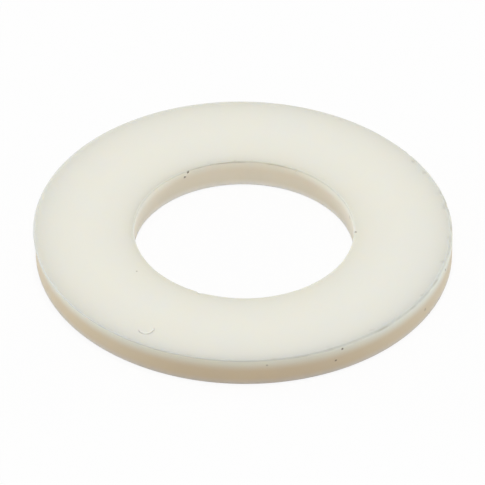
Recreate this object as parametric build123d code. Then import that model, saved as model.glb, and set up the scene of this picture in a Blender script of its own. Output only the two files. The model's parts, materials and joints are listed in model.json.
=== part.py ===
from build123d import *

import os

# Flat washer in natural nylon for an M10 bolt: one moulded ring, with no other piece in it.
#
# The washer lies flat on its underside. Z is the axis of the hole and points up out of the top face.
# The origin is on that axis, in the plane of the underside. Units are millimetres.
#
# Both edges of the top face, at the rim and at the hole, are softly rounded.
# Both edges of the underside are nearly sharp, with only a small break.

# Driving dimensions.
rim_diameter = 20.0
hole_diameter = 10.5  # the clearance hole of an M10 bolt
thickness = 1.5
top_edge_radius = 0.14  # rounding at the rim and at the hole, on the top face
bottom_edge_break = 0.05  # chamfer at the rim and at the hole, on the underside


def ring_section():
    """Half of the washer's cross-section, in the XZ plane, from the hole's wall out to the rim."""
    hole_radius = hole_diameter / 2
    rim_radius = rim_diameter / 2
    with BuildSketch(Plane.XZ) as section:
        with Locations((hole_radius, 0)):
            Rectangle(rim_radius - hole_radius, thickness, align=(Align.MIN, Align.MIN))
        # In the section's own plane Y is up. Each cut makes new corners, so they are picked afresh.
        fillet(section.vertices().group_by(Axis.Y)[-1], top_edge_radius)
        chamfer(section.vertices().group_by(Axis.Y)[0], bottom_edge_break)
    return section.sketch


def washer():
    """The whole washer: its section turned once round the hole's axis."""
    ring = revolve(ring_section(), Axis.Z)
    ring.label = "washer"
    return ring


def write_part(shape):
    """Writes one STEP file, named after the shape's label."""
    os.makedirs("parts", exist_ok=True)
    export_step(shape, os.path.join("parts", f"{shape.label}.step"))
    size = shape.bounding_box().size
    print(f"{shape.label}: {size.X:.2f} x {size.Y:.2f} x {size.Z:.2f} mm, {shape.volume:.1f} mm3")


write_part(washer())
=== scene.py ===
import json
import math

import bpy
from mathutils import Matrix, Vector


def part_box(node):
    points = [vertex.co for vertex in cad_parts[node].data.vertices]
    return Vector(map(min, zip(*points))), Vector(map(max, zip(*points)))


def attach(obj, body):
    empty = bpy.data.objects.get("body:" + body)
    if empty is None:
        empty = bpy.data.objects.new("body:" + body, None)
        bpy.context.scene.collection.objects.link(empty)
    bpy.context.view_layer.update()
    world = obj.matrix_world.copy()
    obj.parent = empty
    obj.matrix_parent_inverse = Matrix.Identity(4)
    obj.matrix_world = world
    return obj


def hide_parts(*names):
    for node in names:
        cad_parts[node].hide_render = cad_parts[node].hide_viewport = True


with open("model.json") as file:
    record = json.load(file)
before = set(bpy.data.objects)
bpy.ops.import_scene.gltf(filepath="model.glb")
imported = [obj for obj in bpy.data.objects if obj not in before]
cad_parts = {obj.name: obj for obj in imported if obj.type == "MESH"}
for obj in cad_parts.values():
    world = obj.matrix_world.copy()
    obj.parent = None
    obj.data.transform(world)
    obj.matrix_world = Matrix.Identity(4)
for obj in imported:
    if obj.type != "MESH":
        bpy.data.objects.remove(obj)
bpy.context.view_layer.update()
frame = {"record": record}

# %% [markdown]
# # A nylon flat washer
# A flat washer is one plain ring. It spreads the load under a bolt's head, and a nylon one also
# keeps metal parts from touching. With only one piece to look at, the small things carry the
# likeness: soft top edges, the line where the two halves of the mould met, and a pale plastic
# that light sinks into. We start with the sizes of the solid model, because the ring we make has
# to keep them. Two small ones, of the edges, are not in its record and are typed in.

MM = 0.001
ring_low, ring_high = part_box("washer")
rim_radius = (ring_high.x - ring_low.x) / 2
thickness = ring_high.z - ring_low.z
bore = next(mount for mount in frame["record"]["mounts"] if mount["name"] == "bore")
hole_radius = bore["dims"]["r_mm"] * MM
top_edge_radius = 0.14 * MM
bottom_edge_break = 0.05 * MM
ring_middle = (ring_low + ring_high) / 2
print(f"rim radius {rim_radius / MM:.2f} mm, hole radius {hole_radius / MM:.2f} mm")
print(f"thickness {thickness / MM:.2f} mm")

# %% [markdown]
# ## The camera
# A part as small as this is usually taken from half a metre away and cropped hard. Lines then run
# almost parallel, and the far side of the ring looks nearly as large as the near side. A long lens
# does the same here. The camera looks down at 38.5 degrees, and is turned a touch, as if it were
# held by hand.

# %% Set up the camera
view_height = math.radians(38.5)
view_turn = math.radians(0.4)
view_distance = 52 * rim_radius
aim_left = 0.01 * MM
aim_low = 0.065 * MM
focal_length_mm = 809
sensor_width_mm = 36

towards_camera = Vector((0, -math.cos(view_height), math.sin(view_height)))
screen_right = Vector((1, 0, 0))
screen_up = Vector((0, math.sin(view_height), math.cos(view_height)))
turned_right = screen_right * math.cos(view_turn) + screen_up * math.sin(view_turn)
turned_up = screen_up * math.cos(view_turn) - screen_right * math.sin(view_turn)
aim = ring_middle - screen_right * aim_left - screen_up * aim_low

lens = bpy.data.cameras.new("long_lens")
lens.lens = focal_length_mm
lens.sensor_width = sensor_width_mm
lens.clip_start = 0.05
lens.clip_end = 5
camera = bpy.data.objects.new("camera", lens)
camera.matrix_world = Matrix.Translation(aim + towards_camera * view_distance) @ Matrix(
    (turned_right, turned_up, towards_camera)
).transposed().to_4x4()
bpy.context.collection.objects.link(camera)
bpy.context.scene.camera = camera
bpy.context.scene.view_settings.view_transform = "Standard"
print(f"camera {view_distance / MM:.0f} mm away, {focal_length_mm} mm lens")

# %% [markdown]
# ## A few helpers for node trees
# Both the shape and the finish are built as node trees. Each tree is a list of small steps, so a
# few helpers keep the later cells short. One adds a node and fills its inputs. The others add a
# sum of numbers, a sum of vectors, a smooth ramp or a named socket, or take a place apart. An
# input may get a plain value or the output of an earlier node.

# %% Helpers that add nodes
def add_node(tree, kind, inputs=None, **settings):
    """Adds a node, gives it its settings, and fills or links its inputs."""
    node = tree.nodes.new(kind)
    for name, value in settings.items():
        setattr(node, name, value)
    for key, value in (inputs or {}).items():
        if isinstance(value, bpy.types.NodeSocket):
            tree.links.new(value, node.inputs[key])
        else:
            node.inputs[key].default_value = value
    return node


def sum_of(tree, operation, *values):
    """The result of one Math node, such as ADD or MULTIPLY."""
    return add_node(tree, "ShaderNodeMath", dict(enumerate(values)), operation=operation).outputs[0]


def vector_sum(tree, operation, *values):
    """The result of one Vector Math node. Some operations give a number, others a vector."""
    inputs = dict(enumerate(values))
    node = add_node(tree, "ShaderNodeVectorMath", inputs, operation=operation)
    gives_number = operation in ("LENGTH", "DISTANCE", "DOT_PRODUCT")
    return node.outputs["Value" if gives_number else "Vector"]


def ramp(tree, value, start, end, low=0.0, high=1.0):
    """Goes smoothly from low, where value is start, to high, where value is end."""
    inputs = {"Value": value, "From Min": start, "From Max": end, "To Min": low, "To Max": high}
    return add_node(tree, "ShaderNodeMapRange", inputs, interpolation_type="SMOOTHSTEP").outputs[0]


def seen_from_above(tree, spot):
    """Splits a place into its three parts, and also gives it without its height."""
    part = add_node(tree, "ShaderNodeSeparateXYZ", {0: spot}).outputs
    flat = add_node(tree, "ShaderNodeCombineXYZ", {"X": part["X"], "Y": part["Y"]}).outputs[0]
    return part, flat


def add_socket(tree, name, kind, side="INPUT", value=None):
    """Adds a named input or output to a tree, with its usual value."""
    socket = tree.interface.new_socket(name=name, in_out=side, socket_type=kind)
    if value is not None:
        socket.default_value = value
    return socket


print("helpers ready")

# %% [markdown]
# ## The section of the ring
# Cut a washer across and the section is a long low rectangle with small roundings. It could be
# drawn by hand, but a section made of nodes keeps its sizes as named inputs. The rectangle's top
# corners get the soft moulded edge and its bottom corners a tiny break. Then its sides are divided:
# coarsely on the flat faces, finely on the walls, where the mould line will need the points.

# %% Start the tree with its named sizes
# A hair is left free at the rim, so that rounding never takes the ring past the solid model.
ring_tree = bpy.data.node_groups.new("moulded_ring", "GeometryNodeTree")
mould_step = 0.058 * MM
hair = 0.001 * MM
divisions = 360
ring_sizes = {
    "Rim Radius": rim_radius - mould_step - hair,
    "Hole Radius": hole_radius,
    "Thickness": thickness,
    "Top Edge Radius": top_edge_radius,
    "Bottom Edge Break": bottom_edge_break,
    "Mould Step": mould_step,
    "Groove Depth": 0.008 * MM,
    "Groove Width": 0.03 * MM,
    "Nick Depth": 0.03 * MM,
    "Face Step": 0.11 * MM,
    "Wall Step": 0.035 * MM,
    "Seed": 49.0,
}
for name, value in ring_sizes.items():
    add_socket(ring_tree, name, "NodeSocketFloat", value=value)
add_socket(ring_tree, "Divisions", "NodeSocketInt", value=divisions)
add_socket(ring_tree, "Finish", "NodeSocketMaterial")
add_socket(ring_tree, "Ring", "NodeSocketGeometry", side="OUTPUT")
given = add_node(ring_tree, "NodeGroupInput").outputs
print("named sizes:", ", ".join(ring_sizes))

# %% Draw the rounded section
corner_steps = 8
ring_width = sum_of(ring_tree, "SUBTRACT", given["Rim Radius"], given["Hole Radius"])
section = add_node(
    ring_tree,
    "GeometryNodeCurvePrimitiveQuadrilateral",
    {"Width": ring_width, "Height": given["Thickness"]},
)
section_spot = add_node(ring_tree, "GeometryNodeInputPosition").outputs[0]
section_height = add_node(ring_tree, "ShaderNodeSeparateXYZ", {0: section_spot}).outputs["Y"]
corner_radius = add_node(
    ring_tree,
    "GeometryNodeSwitch",
    {
        "Switch": sum_of(ring_tree, "GREATER_THAN", section_height, 0.0),
        "False": given["Bottom Edge Break"],
        "True": given["Top Edge Radius"],
    },
    input_type="FLOAT",
).outputs[0]
rounded = add_node(
    ring_tree,
    "GeometryNodeFilletCurve",
    {"Curve": section.outputs[0], "Count": corner_steps, "Radius": corner_radius},
    mode="POLY",
).outputs[0]
print("section: a rectangle with", corner_steps, "steps round each corner")

# %% Divide the long sides of the section
next_point = add_node(ring_tree, "GeometryNodeOffsetPointInCurve", {"Offset": 1})
next_spot = add_node(
    ring_tree,
    "GeometryNodeFieldAtIndex",
    {"Value": section_spot, "Index": next_point.outputs["Point Index"]},
    data_type="FLOAT_VECTOR",
    domain="POINT",
).outputs[0]
side = vector_sum(ring_tree, "SUBTRACT", next_spot, section_spot)
side_part = add_node(ring_tree, "ShaderNodeSeparateXYZ", {0: side})
across = sum_of(ring_tree, "ABSOLUTE", side_part.outputs["X"])
upward = sum_of(ring_tree, "ABSOLUTE", side_part.outputs["Y"])
cuts = sum_of(
    ring_tree,
    "ADD",
    sum_of(ring_tree, "DIVIDE", across, given["Face Step"]),
    sum_of(ring_tree, "DIVIDE", upward, given["Wall Step"]),
)
divided = add_node(
    ring_tree, "GeometryNodeSubdivideCurve", {"Curve": rounded, "Cuts": cuts}
).outputs[0]
print("section: 4 rounded corners, faces and walls divided")

# %% [markdown]
# ## Sweep the section round the hole
# The section now follows a circle that runs along the middle of the ring's width. The washer lies
# on its underside, so the swept ring is lifted by half its thickness.

# %% Sweep and lift
middle_radius = sum_of(
    ring_tree, "MULTIPLY", sum_of(ring_tree, "ADD", given["Rim Radius"], given["Hole Radius"]), 0.5
)
circle = add_node(
    ring_tree,
    "GeometryNodeCurvePrimitiveCircle",
    {"Resolution": given["Divisions"], "Radius": middle_radius},
    mode="RADIUS",
).outputs[0]
swept = add_node(
    ring_tree, "GeometryNodeCurveToMesh", {"Curve": circle, "Profile Curve": divided}
).outputs[0]
half_thickness = sum_of(ring_tree, "MULTIPLY", given["Thickness"], 0.5)
lift = add_node(ring_tree, "ShaderNodeCombineXYZ", {"Z": half_thickness}).outputs[0]
lifted = add_node(
    ring_tree, "GeometryNodeSetPosition", {"Geometry": swept, "Offset": lift}
).outputs[0]
print("swept in", divisions, "steps and lifted onto its underside")

# %% [markdown]
# ## The step of the mould
# A moulded ring comes out of two half moulds, which meet in a line round the wall, part of the way
# up the soft top edge. The halves never meet quite true, so the upper one is shifted a little
# against the lower. The step shows as a small lip at one side of the rim. The hole has none,
# because its pin stands in the lower half. Here only the points of the upper rim move one way, all
# the others move the other way, and across the flat top the one passes smoothly into the other.

# %% Shift the two halves
line_share = 0.6  # how far down the rounding of the top edge the line runs
line_blend = 0.02 * MM
wall_margin = 1 * MM
spot = add_node(ring_tree, "GeometryNodeInputPosition").outputs[0]
spot_part, flat_spot = seen_from_above(ring_tree, spot)
radius = vector_sum(ring_tree, "LENGTH", flat_spot)
outward = vector_sum(ring_tree, "NORMALIZE", flat_spot)
line_depth = sum_of(ring_tree, "MULTIPLY", given["Top Edge Radius"], line_share)
mould_line = sum_of(ring_tree, "SUBTRACT", given["Thickness"], line_depth)
above_line = sum_of(ring_tree, "SUBTRACT", spot_part["Z"], mould_line)
upper_half = ramp(ring_tree, above_line, -line_blend, line_blend)
outer_part = ramp(ring_tree, radius, hole_radius + wall_margin, rim_radius - wall_margin)
upper_rim = sum_of(ring_tree, "MULTIPLY", upper_half, outer_part)
way = sum_of(ring_tree, "SUBTRACT", 1.0, sum_of(ring_tree, "MULTIPLY", upper_rim, 2.0))
shift_x = sum_of(ring_tree, "MULTIPLY", way, given["Mould Step"])
shift = add_node(ring_tree, "ShaderNodeCombineXYZ", {"X": shift_x}).outputs[0]
print(f"the two halves are shifted by {mould_step / MM:.3f} mm each")

# %% [markdown]
# ## The mould line and the nicks
# Along the same line there is a hair-fine groove, broken up where the two halves closed tightly.
# The soft edge above it also has a few shallow nicks from washers knocking together in their bag.
# Noise decides where both of them are deep, and both are pressed into the plastic, so the ring
# never grows beyond its size. Each one is also saved on the mesh as a named attribute: the finish
# uses them later to paint shade into the groove and the nicks.

# %% Press in the groove
drift_size = 1.8 * MM
shut_below, open_above = 0.48, 0.6  # values of the noise between which the groove opens
drift = add_node(
    ring_tree,
    "ShaderNodeTexNoise",
    {"Vector": spot, "W": given["Seed"], "Scale": 1 / drift_size, "Detail": 5.0},
    noise_dimensions="4D",
).outputs[0]
open_here = ramp(ring_tree, drift, shut_below, open_above)
from_line = sum_of(ring_tree, "DIVIDE", above_line, given["Groove Width"])
from_line_squared = sum_of(ring_tree, "POWER", from_line, 2.0)
groove_form = sum_of(
    ring_tree, "EXPONENT", sum_of(ring_tree, "MULTIPLY", from_line_squared, -1.0)
)
groove = sum_of(ring_tree, "MULTIPLY", groove_form, open_here)
print(f"groove up to {ring_sizes['Groove Depth'] / MM:.3f} mm deep")

# %% Press in the nicks
# Nicks begin at the first distance from an edge and are at their deepest from the second on.
rim_nicks_from, rim_nicks_full = 0.35 * MM, 0.2 * MM
hole_nicks_from, hole_nicks_full = 0.25 * MM, 0.12 * MM
nicks_above = -0.12 * MM
grit_size = 0.45 * MM
nick_starts, nick_is_deep = 0.64, 0.74  # values of the noise between which a nick deepens
grit = add_node(
    ring_tree,
    "ShaderNodeTexNoise",
    {"Vector": spot, "W": given["Seed"], "Scale": 1 / grit_size, "Detail": 1.5},
    noise_dimensions="4D",
).outputs[0]
near_rim = ramp(ring_tree, radius, rim_radius - rim_nicks_from, rim_radius - rim_nicks_full)
near_hole = ramp(ring_tree, radius, hole_radius + hole_nicks_from, hole_radius + hole_nicks_full)
near_edge = sum_of(ring_tree, "MAXIMUM", near_rim, near_hole)
high_up = ramp(ring_tree, above_line, nicks_above, -line_blend)
nick = sum_of(
    ring_tree,
    "MULTIPLY",
    ramp(ring_tree, grit, nick_starts, nick_is_deep),
    sum_of(ring_tree, "MULTIPLY", near_edge, high_up),
)
print(f"nicks up to {ring_sizes['Nick Depth'] / MM:.3f} mm deep")

# %% Move the points
# The plastic lies outwards of the hole (1) and inwards of the rim (-1).
turn_from, turn_to = hole_radius + 2 * MM, hole_radius + 2.5 * MM
into_plastic = ramp(ring_tree, radius, turn_from, turn_to, 1.0, -1.0)
groove_push = sum_of(ring_tree, "MULTIPLY", groove, given["Groove Depth"])
nick_push = sum_of(ring_tree, "MULTIPLY", nick, given["Nick Depth"])
push = sum_of(ring_tree, "ADD", groove_push, nick_push)
push = sum_of(ring_tree, "MULTIPLY", push, into_plastic)
pushed = add_node(
    ring_tree, "ShaderNodeVectorMath", {0: outward, "Scale": push}, operation="SCALE"
).outputs[0]
sunk = add_node(
    ring_tree, "ShaderNodeCombineXYZ", {"Z": sum_of(ring_tree, "MULTIPLY", nick_push, -1.0)}
).outputs[0]
offset = vector_sum(ring_tree, "ADD", vector_sum(ring_tree, "ADD", pushed, sunk), shift)


def save_attribute(tree, geometry, name, value):
    """Saves a number on every point, under a name that a material can read."""
    inputs = {"Geometry": geometry, "Name": name, "Value": value}
    node = add_node(tree, "GeometryNodeStoreNamedAttribute", inputs, data_type="FLOAT")
    return node.outputs[0]


ring = save_attribute(ring_tree, lifted, "groove", groove)
ring = save_attribute(ring_tree, ring, "nick", nick)
ring = add_node(
    ring_tree, "GeometryNodeSetPosition", {"Geometry": ring, "Offset": offset}
).outputs[0]
ring = add_node(ring_tree, "GeometryNodeSetShadeSmooth", {"Geometry": ring}).outputs[0]
ring = add_node(ring_tree, "GeometryNodeRealizeInstances", {"Geometry": ring}).outputs[0]
ring = add_node(
    ring_tree, "GeometryNodeSetMaterial", {"Geometry": ring, "Material": given["Finish"]}
).outputs[0]
add_node(ring_tree, "NodeGroupOutput", {"Ring": ring})
print("ring tree has", len(ring_tree.nodes), "nodes")

# %% [markdown]
# ## Where a point lies on the ring
# The finish changes between the flat face, the rounded edge and the wall. All of it can be worked
# out from a point's own place: its distance from the axis and its height. This group does that
# once, and gives back four numbers that the colours below share.

# %% Group: place on the ring
edge_share = 0.25  # how far down the rounded edge the wall's colour starts
foot_blend = 0.04 * MM
side_blend = 1 * MM
place_group = bpy.data.node_groups.new("place_on_ring", "ShaderNodeTree")
for name, value in (
    ("Rim Radius", rim_radius),
    ("Hole Radius", hole_radius),
    ("Thickness", thickness),
    ("Edge Radius", top_edge_radius),
):
    add_socket(place_group, name, "NodeSocketFloat", value=value)
for name in ("Wall", "Height", "From Edge", "Hole Side"):
    add_socket(place_group, name, "NodeSocketFloat", side="OUTPUT")
given = add_node(place_group, "NodeGroupInput").outputs
point = add_node(place_group, "ShaderNodeTexCoord").outputs["Object"]
part, flat_point = seen_from_above(place_group, point)
point_radius = vector_sum(place_group, "LENGTH", flat_point)
to_rim = sum_of(place_group, "SUBTRACT", given["Rim Radius"], point_radius)
to_hole = sum_of(place_group, "SUBTRACT", point_radius, given["Hole Radius"])
below_top = sum_of(place_group, "SUBTRACT", given["Thickness"], part["Z"])
edge_start = sum_of(place_group, "MULTIPLY", given["Edge Radius"], edge_share)
wall_top = ramp(place_group, below_top, edge_start, given["Edge Radius"])
wall_foot = ramp(place_group, part["Z"], 0.0, foot_blend)
nearest_edge = sum_of(place_group, "MINIMUM", to_rim, to_hole)
nearer_hole = sum_of(place_group, "SUBTRACT", to_rim, to_hole)
add_node(
    place_group,
    "NodeGroupOutput",
    {
        "Wall": sum_of(place_group, "MULTIPLY", wall_top, wall_foot),
        "Height": sum_of(place_group, "DIVIDE", part["Z"], given["Thickness"]),
        "From Edge": sum_of(place_group, "MAXIMUM", nearest_edge, 0.0),
        "Hole Side": ramp(place_group, nearer_hole, -side_blend, side_blend),
    },
)
print("group", place_group.name)

# %% [markdown]
# ## The tint and painted shade of a wall
# Seen from the side, light has come a long way through the plastic, so the walls look warmer
# than the faces; that warmth is painted into the wall's colour, along with painted shade and
# painted light. The wall is painted darkest and warmest in the lower half and fades to a pale
# grey towards the mould line, a painted light for the light from the face above that gets in
# there. The wall of the hole is painted lighter than the outer wall, and lighter still at its
# foot, as painted light for the light it gets. The two walls show the same change at different
# strengths, so it is a group with three colours.

# %% Group: wall tint and painted shade
foot_end, body_start = 0.05, 0.3  # as shares of the ring's thickness
tint_and_shade_group = bpy.data.node_groups.new("wall_tint_and_shade", "ShaderNodeTree")
add_socket(tint_and_shade_group, "Height", "NodeSocketFloat", value=0.5)
for name in ("Foot", "Body", "Shoulder"):
    add_socket(tint_and_shade_group, name, "NodeSocketColor", value=(0.8, 0.8, 0.8, 1))
add_socket(tint_and_shade_group, "Fade Start", "NodeSocketFloat", value=0.4)
add_socket(tint_and_shade_group, "Fade End", "NodeSocketFloat", value=0.9)
add_socket(tint_and_shade_group, "Color", "NodeSocketColor", side="OUTPUT")
given = add_node(tint_and_shade_group, "NodeGroupInput").outputs


def mix_colours(tree, amount, first, second, blend="MIX"):
    """Mixes two colours. An amount of 0 gives the first, and 1 gives the second."""
    node = tree.nodes.new("ShaderNodeMix")
    node.data_type = "RGBA"
    node.blend_type = blend
    for key, value in ((0, amount), (6, first), (7, second)):
        if isinstance(value, bpy.types.NodeSocket):
            tree.links.new(value, node.inputs[key])
        else:
            node.inputs[key].default_value = value
    return node.outputs[2]


# Painted shade and painted light: the body band is painted darker than the face, the shoulder
# paler.
up_to_body = ramp(tint_and_shade_group, given["Height"], foot_end, body_start)
lower = mix_colours(tint_and_shade_group, up_to_body, given["Foot"], given["Body"])
up_to_shoulder = ramp(tint_and_shade_group, given["Height"], given["Fade Start"], given["Fade End"])
tinted_and_shaded = mix_colours(tint_and_shade_group, up_to_shoulder, lower, given["Shoulder"])
add_node(tint_and_shade_group, "NodeGroupOutput", {"Color": tinted_and_shaded})
print("group", tint_and_shade_group.name)

# %% [markdown]
# ## Specks
# Dark specks sit in and on a moulded part: burnt crumbs from the heated barrel of the machine, and
# grit that lodges at an edge later. One speck is a small uneven dot. The group measures how far a
# point is from the speck's place, makes that distance uneven with noise, and turns it into a mask.
# The material uses it several times, with a place and a size for each speck.

# %% Group: speck
wobble_size = 0.05 * MM
full_within, gone_beyond = 0.6, 1.3  # as shares of the speck's size
speck_group = bpy.data.node_groups.new("speck", "ShaderNodeTree")
add_socket(speck_group, "Place", "NodeSocketVector")
add_socket(speck_group, "Size", "NodeSocketFloat", value=0.05 * MM)
add_socket(speck_group, "Strength", "NodeSocketFloat", value=1.0)
add_socket(speck_group, "Mask", "NodeSocketFloat", side="OUTPUT")
given = add_node(speck_group, "NodeGroupInput").outputs
point = add_node(speck_group, "ShaderNodeTexCoord").outputs["Object"]
reach = vector_sum(speck_group, "DISTANCE", point, given["Place"])
wobble = add_node(
    speck_group, "ShaderNodeTexNoise", {"Vector": point, "Scale": 1 / wobble_size, "Detail": 1.0}
).outputs[0]
uneven = sum_of(speck_group, "MULTIPLY", sum_of(speck_group, "ADD", wobble, 0.5), reach)
dot = ramp(
    speck_group,
    sum_of(speck_group, "DIVIDE", uneven, given["Size"]),
    full_within,
    gone_beyond,
    given["Strength"],
    0.0,
)
add_node(speck_group, "NodeGroupOutput", {"Mask": dot})
print("group", speck_group.name)

# %% [markdown]
# ## Scratches
# A curved scratch is part of a circle: the points at one distance from a centre, on one side of it.
# The group gives a mask that is strongest along that half circle and fades at its two ends. Noise
# bends the line a little and lets it skip, because whatever scratched the face did not press
# evenly.

# %% Group: scratch
shiver_size = 0.22 * MM
bend = 0.12 * MM
end_from, end_to = -0.15, 0.4  # where the line fades in, as shares of its radius
light_below, firm_above = 0.3, 0.55  # values of the noise between which it is pressed firmly
lightest = 0.45  # what is left of the line where it is pressed least
scratch_group = bpy.data.node_groups.new("scratch", "ShaderNodeTree")
add_socket(scratch_group, "Centre", "NodeSocketVector")
add_socket(scratch_group, "Lowest Way", "NodeSocketVector", value=(0, -1, 0))
add_socket(scratch_group, "Radius", "NodeSocketFloat", value=0.4 * MM)
add_socket(scratch_group, "Width", "NodeSocketFloat", value=0.03 * MM)
add_socket(scratch_group, "Mask", "NodeSocketFloat", side="OUTPUT")
given = add_node(scratch_group, "NodeGroupInput").outputs
point = add_node(scratch_group, "ShaderNodeTexCoord").outputs["Object"]
from_centre = vector_sum(scratch_group, "SUBTRACT", point, given["Centre"])
length = vector_sum(scratch_group, "LENGTH", from_centre)
shiver = add_node(
    scratch_group, "ShaderNodeTexNoise", {"Vector": point, "Scale": 1 / shiver_size, "Detail": 2.0}
).outputs[0]
bent = sum_of(scratch_group, "MULTIPLY", sum_of(scratch_group, "SUBTRACT", shiver, 0.5), bend)
from_line = sum_of(
    scratch_group, "SUBTRACT", sum_of(scratch_group, "ADD", length, bent), given["Radius"]
)
off_line = sum_of(scratch_group, "ABSOLUTE", from_line)
off_line = sum_of(scratch_group, "DIVIDE", off_line, given["Width"])
line = ramp(scratch_group, off_line, 0.0, 1.0, 1.0, 0.0)
lowness = vector_sum(scratch_group, "DOT_PRODUCT", from_centre, given["Lowest Way"])
lowness = sum_of(scratch_group, "DIVIDE", lowness, given["Radius"])
lower_half = ramp(scratch_group, lowness, end_from, end_to)
pressed = ramp(scratch_group, shiver, light_below, firm_above, lightest, 1.0)
mask = sum_of(scratch_group, "MULTIPLY", line, lower_half)
mask = sum_of(scratch_group, "MULTIPLY", mask, pressed)
add_node(scratch_group, "NodeGroupOutput", {"Mask": mask})
print("group", scratch_group.name)

# %% [markdown]
# ## Grain
# The mould was cut and lightly blasted, so the nylon has a fine satin grain. The plastic also set
# unevenly, which shows as pale clouds a few millimetres wide. This group gives both: a fine height
# for a bump, and two slow masks, one for colour and one for gloss.

# %% Group: satin grain
grain_group = bpy.data.node_groups.new("satin_grain", "ShaderNodeTree")
add_socket(grain_group, "Grain Size", "NodeSocketFloat", value=0.12 * MM)
add_socket(grain_group, "Cloud Size", "NodeSocketFloat", value=2.6 * MM)
for name in ("Grain", "Clouds", "Gloss"):
    add_socket(grain_group, name, "NodeSocketFloat", side="OUTPUT")
given = add_node(grain_group, "NodeGroupInput").outputs
point = add_node(grain_group, "ShaderNodeTexCoord").outputs["Object"]


def noise_of(tree, vector, size, detail, seed=0.0):
    """Noise with lumps of about the given size, going from 0 to 1."""
    scale = sum_of(tree, "DIVIDE", 1.0, size)
    inputs = {"Vector": vector, "Scale": scale, "Detail": detail, "W": seed}
    return add_node(tree, "ShaderNodeTexNoise", inputs, noise_dimensions="4D").outputs[0]


smudge_share = 0.4
grain = noise_of(grain_group, point, given["Grain Size"], detail=2.0)
clouds = noise_of(grain_group, point, given["Cloud Size"], detail=2.0, seed=3.0)
smudge_size = sum_of(grain_group, "MULTIPLY", given["Cloud Size"], smudge_share)
smudges = noise_of(grain_group, point, smudge_size, detail=3.0, seed=7.0)
add_node(
    grain_group,
    "NodeGroupOutput",
    {
        "Grain": grain,
        "Clouds": ramp(grain_group, clouds, 0.3, 0.7),
        "Gloss": ramp(grain_group, smudges, 0.35, 0.65),
    },
)
print("group", grain_group.name)

# %% [markdown]
# ## Nylon
# Natural nylon is milky. Light goes in, scatters about and comes out nearby, so the shading is
# soft and the edges have no hard line. Subsurface scattering does that. Towards an edge the face
# is also painted greyer, a painted shade for the light that escapes through the wall there, and
# it is painted darker at the rim than at the hole. Away from the edge the painted shade fades
# quickly at first and then slowly, and in the last few hundredths of a millimetre before the
# edge it stays level.

# %% Mix the nylon
fade_length = 0.22 * MM
fade_power = 0.55
least_fade_step = 0.16  # without it the colour comes to a sharp dark point at the edge
nylon = bpy.data.materials.new("natural_nylon")
nylon.use_nodes = True
tree = nylon.node_tree
shader = tree.nodes["Principled BSDF"]
face_colour = (0.83, 0.82, 0.738, 1)
# Painted shade: the face is painted greyer towards the rim and the hole, darkest at the rim.
rim_painted_edge_shade = (0.365, 0.38, 0.38, 1)
hole_painted_edge_shade = (0.545, 0.535, 0.465, 1)
# Painted shade and painted light: darker warm bodies, pale shoulders, and a lighter hole wall and
# foot.
rim_wall_tint_and_shade = {
    "Foot": (0.62, 0.55, 0.475, 1),
    "Body": (0.615, 0.505, 0.35, 1),
    "Shoulder": (0.71, 0.705, 0.62, 1),
    "Fade Start": 0.5,
    "Fade End": 0.93,
}
hole_wall_tint_and_shade = {
    "Foot": (0.9, 0.85, 0.77, 1),
    "Body": (0.8, 0.735, 0.605, 1),
    "Shoulder": (0.825, 0.8, 0.705, 1),
    "Fade Start": 0.6,
}
place = add_node(tree, "ShaderNodeGroup", node_tree=place_group).outputs


def wall_tint_and_shade(tints):
    """One wall_tint_and_shade group, with the three colours of a wall."""
    group = tree.nodes.new("ShaderNodeGroup")
    group.node_tree = tint_and_shade_group
    for name, value in tints.items():
        group.inputs[name].default_value = value
    tree.links.new(place["Height"], group.inputs["Height"])
    return group.outputs["Color"]


wall_colour_and_shade = mix_colours(
    tree, place["Hole Side"], wall_tint_and_shade(rim_wall_tint_and_shade), wall_tint_and_shade(hole_wall_tint_and_shade)
)
# The face's colour turns towards this painted edge shade near each edge.
painted_edge_shade = mix_colours(tree, place["Hole Side"], rim_painted_edge_shade, hole_painted_edge_shade)
edge_shade_steps = sum_of(tree, "DIVIDE", place["From Edge"], fade_length)
edge_shade_steps = sum_of(tree, "MAXIMUM", edge_shade_steps, least_fade_step)
edge_shade_steps = sum_of(tree, "POWER", edge_shade_steps, fade_power)
edge_shade = sum_of(tree, "EXPONENT", sum_of(tree, "MULTIPLY", edge_shade_steps, -1.0))
face = mix_colours(tree, edge_shade, face_colour, painted_edge_shade)
clean_nylon = mix_colours(tree, place["Wall"], face, wall_colour_and_shade)
print("nylon: a face, two edges and two walls")

# %% Add the clouds and the gloss
cool_cloud, warm_cloud = (0.985, 0.99, 1.0, 1), (1.0, 0.995, 0.98, 1)
smooth_spots, dull_spots = 0.405, 0.44
grain = add_node(tree, "ShaderNodeGroup", node_tree=grain_group).outputs
cloud_tint = mix_colours(tree, grain["Clouds"], cool_cloud, warm_cloud)
cloudy_nylon = mix_colours(tree, 1.0, clean_nylon, cloud_tint, blend="MULTIPLY")
dull = ramp(tree, grain["Gloss"], 0.0, 1.0, smooth_spots, dull_spots)
tree.links.new(dull, shader.inputs["Roughness"])
print(f"satin: roughness {smooth_spots} to {dull_spots}")

# %% [markdown]
# ## Marks on the nylon
# Where the ring has lain about, there are specks on the walls and edges and a curved scratch on
# the face. The mould line and the nicks are painted a grey brown, a painted shade in these
# creases. A thin pale line along the inner side of the scratch is a painted highlight of its lit
# side. Each speck has a place of its own: an angle round the ring, counted from the right, and
# then a radius and a height. The places are counted from the middle of the lower half, which the
# mould step has moved off the axis.

# %% Place the specks
def on_ring(angle, radius_mm, height_mm):
    """A place on the lower half, from an angle in degrees and two sizes in millimetres."""
    turn = math.radians(angle)
    x = radius_mm * MM * math.cos(turn) + mould_step
    return (x, radius_mm * MM * math.sin(turn), height_mm * MM)


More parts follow.
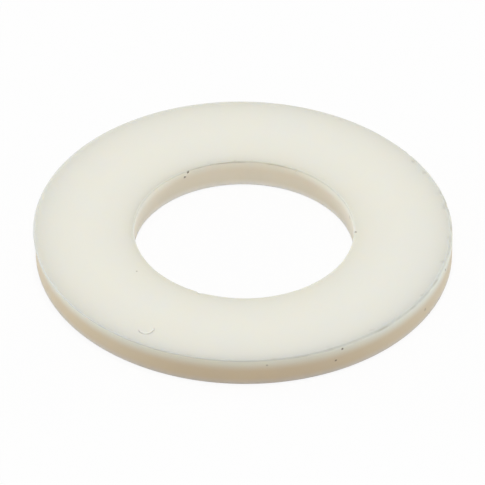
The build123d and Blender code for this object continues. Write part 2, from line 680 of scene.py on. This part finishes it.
# For each speck: its angle in degrees, its radius, height and size in mm, and its strength.
specks = (
    (121, 5.27, 1.38, 0.07, 0.9),
    (123, 5.25, 1.15, 0.06, 0.75),
    (298, 9.94, 1.3, 0.065, 0.85),
    (296, 9.94, 0.72, 0.055, 0.8),
    (276.5, 9.94, 1.16, 0.05, 0.4),
    (344.5, 9.94, 1.2, 0.07, 0.75),
    (330, 9.94, 0.65, 0.08, 0.4),
    (166, 5.3, 1.39, 0.05, 0.6),
    (108, 5.3, 1.43, 0.05, 0.5),
    (358, 5.33, 1.48, 0.06, 0.7),
    (213, 6.05, 1.5, 0.045, 0.4),
    (205, 9.94, 1.35, 0.05, 0.4),
    (332.5, 9.94, 0.12, 0.06, 0.4),
    (336, 9.94, 0.1, 0.06, 0.5),
    (16, 5.25, 1.1, 0.1, 0.25),
)
speckled = 0.0
for angle, radius_mm, height_mm, size_mm, strength in specks:
    node = add_node(tree, "ShaderNodeGroup", node_tree=speck_group)
    node.inputs["Place"].default_value = on_ring(angle, radius_mm, height_mm)
    node.inputs["Size"].default_value = size_mm * MM
    node.inputs["Strength"].default_value = strength
    speckled = sum_of(tree, "MAXIMUM", speckled, node.outputs["Mask"])
print(len(specks), "specks")

# %% Add the painted crease shade, the specks and the scratch with its painted highlight
scratch_centre = (-4.52 * MM, -7.64 * MM, thickness)
scratch_lowest_way = (0.21, -0.98, 0)
groove_shade, nick_shade, crease_shade_colour = 0.42, 0.25, (0.3, 0.27, 0.22, 1)
scratch_tint, scratch_colour = 0.45, (0.45, 0.43, 0.36, 1)
# Painted highlight: a pale line along the scratch's inner side, for its lit side.
scratch_highlight_tint, scratch_highlight_colour = 0.6, (0.93, 0.92, 0.88, 1)
speck_colour = (0.12, 0.085, 0.06, 1)
scratch_relief, grain_relief = -1.6, 0.12
bump_height = 0.03 * MM
# Painted shade: the groove and the nicks are painted a grey brown, a shade in these creases.
saved_groove = add_node(tree, "ShaderNodeAttribute", attribute_name="groove").outputs["Fac"]
saved_nick = add_node(tree, "ShaderNodeAttribute", attribute_name="nick").outputs["Fac"]
crease_shade = sum_of(tree, "MULTIPLY", saved_groove, groove_shade)
crease_shade = sum_of(tree, "MAXIMUM", crease_shade, sum_of(tree, "MULTIPLY", saved_nick, nick_shade))
crease_shaded = mix_colours(tree, crease_shade, cloudy_nylon, crease_shade_colour)


def scratch_line(radius_mm, width_mm):
    """The mask of a line along the scratch, at a radius and with a half width in millimetres."""
    node = add_node(tree, "ShaderNodeGroup", node_tree=scratch_group)
    node.inputs["Centre"].default_value = scratch_centre
    node.inputs["Lowest Way"].default_value = scratch_lowest_way
    node.inputs["Radius"].default_value = radius_mm * MM
    node.inputs["Width"].default_value = width_mm * MM
    return node.outputs["Mask"]


scratch = scratch_line(0.375, 0.045)
scratch_highlight = scratch_line(0.3, 0.04)
scratched = sum_of(tree, "MULTIPLY", scratch, scratch_tint)
marked = mix_colours(tree, scratched, crease_shaded, scratch_colour)
scratch_highlight = sum_of(tree, "MULTIPLY", scratch_highlight, scratch_highlight_tint)
marked = mix_colours(tree, scratch_highlight, marked, scratch_highlight_colour)
marked = mix_colours(tree, speckled, marked, speck_colour)
tree.links.new(marked, shader.inputs["Base Color"])
pressed_in = sum_of(tree, "MULTIPLY", scratch, scratch_relief)
raised = sum_of(tree, "MULTIPLY", grain["Grain"], grain_relief)
relief = sum_of(tree, "ADD", raised, pressed_in)
bump = add_node(
    tree, "ShaderNodeBump", {"Height": relief, "Distance": bump_height, "Strength": 1.0}
).outputs[0]
tree.links.new(bump, shader.inputs["Normal"])
print("marks: soil, specks and one scratch with a pale side")

# %% Let the light sink in
shader.inputs["IOR"].default_value = 1.53
shader.inputs["Subsurface Weight"].default_value = 0.6
shader.inputs["Subsurface Radius"].default_value = (1.0, 0.85, 0.6)
shader.inputs["Subsurface Scale"].default_value = 0.7 * MM
print("nylon tree has", len(tree.nodes), "nodes")

# %% [markdown]
# ## Make the ring
# The tree runs once on an empty mesh. Its result becomes a plain mesh, which is what the frame and
# the export want, and it then takes the place of the solid model's washer.

# %% Make the ring's mesh
maker = bpy.data.objects.new("ring_maker", bpy.data.meshes.new("ring_maker"))
bpy.context.collection.objects.link(maker)
modifier = maker.modifiers.new("moulded_ring", "NODES")
modifier.node_group = ring_tree
for item in ring_tree.interface.items_tree:
    if item.in_out == "INPUT" and item.name in ring_sizes:
        modifier[item.identifier] = ring_sizes[item.name]
    elif item.name == "Finish":
        modifier[item.identifier] = nylon
evaluated = maker.evaluated_get(bpy.context.evaluated_depsgraph_get())
ring_mesh = bpy.data.meshes.new_from_object(evaluated)
ring_mesh.name = "nylon_ring"
maker.modifiers.remove(modifier)
bpy.data.objects.remove(maker)
nylon_ring = bpy.data.objects.new("nylon_ring", ring_mesh)
bpy.context.collection.objects.link(nylon_ring)
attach(nylon_ring, "root")
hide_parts("washer")
triangles = sum(len(polygon.vertices) - 2 for polygon in ring_mesh.polygons)
print(len(ring_mesh.vertices), "points,", triangles, "triangles")

# %% [markdown]
# ## Floor and light
# The washer lies on a plain white table in an even, pale room. A small soft light hangs straight
# above it. One more stands low at each side, a little behind and slightly cool, and brushes along
# the walls, so the ring looks round. A lamp that low would glint along the moulded edge, so the two
# are left out of reflections, as a polarising filter does in a studio. The camera sees the table
# almost as pure white, and the washer's own soft shadow still darkens it.

# %% Lay the floor
floor_half = 0.6
floor_drop = 0.01 * MM
plain_white_share = 0.9  # the rest of what the camera sees is the real table, with its shadow
corners = ((-1, -1), (1, -1), (1, 1), (-1, 1))
floor_mesh = bpy.data.meshes.new("floor")
floor_mesh.from_pydata(
    [(x * floor_half, y * floor_half, -floor_drop) for x, y in corners], [], [(0, 1, 2, 3)]
)
floor = bpy.data.objects.new("floor", floor_mesh)
bpy.context.collection.objects.link(floor)
white_table = bpy.data.materials.new("white_table")
white_table.use_nodes = True
tree = white_table.node_tree
tree.nodes.clear()
ray = add_node(tree, "ShaderNodeLightPath").outputs
matt = add_node(tree, "ShaderNodeBsdfDiffuse", {"Color": (0.9, 0.9, 0.9, 1)}).outputs[0]
plain_white = add_node(tree, "ShaderNodeEmission", {"Strength": 1.0}).outputs[0]
seen = sum_of(tree, "MULTIPLY", ray["Is Camera Ray"], plain_white_share)
table_look = add_node(tree, "ShaderNodeMixShader", {0: seen, 1: matt, 2: plain_white}).outputs[0]
add_node(tree, "ShaderNodeOutputMaterial", {"Surface": table_look})
floor_mesh.materials.append(white_table)
print(f"table {2 * floor_half:.1f} m wide")

# %% Hang the lights
daylight = (0.82, 1.0, 1.18)
room_colour = (0.625, 0.615, 0.6, 1)


def hang_light(name, place, size, strength, colour=(1, 1, 1)):
    """A square soft light at a place in metres, facing the washer. Its strength is in watts."""
    data = bpy.data.lights.new(name, "AREA")
    data.shape = "SQUARE"
    data.size = size
    data.energy = strength
    data.color = colour
    light = bpy.data.objects.new(name, data)
    light.location = place
    light.rotation_mode = "QUATERNION"
    light.rotation_quaternion = Vector(place).to_track_quat("Z", "Y")
    bpy.context.collection.objects.link(light)
    return light


hang_light("top_light", (0, 0, 0.6), 0.15, 1.22)
left_light = hang_light("left_light", (-0.58, 0.155, 0.046), 0.09, 1.3, daylight)
right_light = hang_light("right_light", (0.58, 0.155, 0.046), 0.09, 1.0, daylight)
left_light.visible_glossy = False
right_light.visible_glossy = False
world = bpy.data.worlds.new("studio")
world.use_nodes = True
tree = world.node_tree
tree.nodes.clear()
ray = add_node(tree, "ShaderNodeLightPath").outputs
seen = sum_of(tree, "MAXIMUM", ray["Is Camera Ray"], ray["Is Glossy Ray"])
seen = sum_of(tree, "MAXIMUM", seen, ray["Is Transmission Ray"])
room = add_node(tree, "ShaderNodeBackground", {"Color": room_colour}).outputs[0]
white = add_node(tree, "ShaderNodeBackground", {"Color": (1, 1, 1, 1)}).outputs[0]
room_look = add_node(tree, "ShaderNodeMixShader", {0: seen, 1: room, 2: white}).outputs[0]
add_node(tree, "ShaderNodeOutputWorld", {"Surface": room_look})
bpy.context.scene.world = world
print("3 soft lights in a pale room")
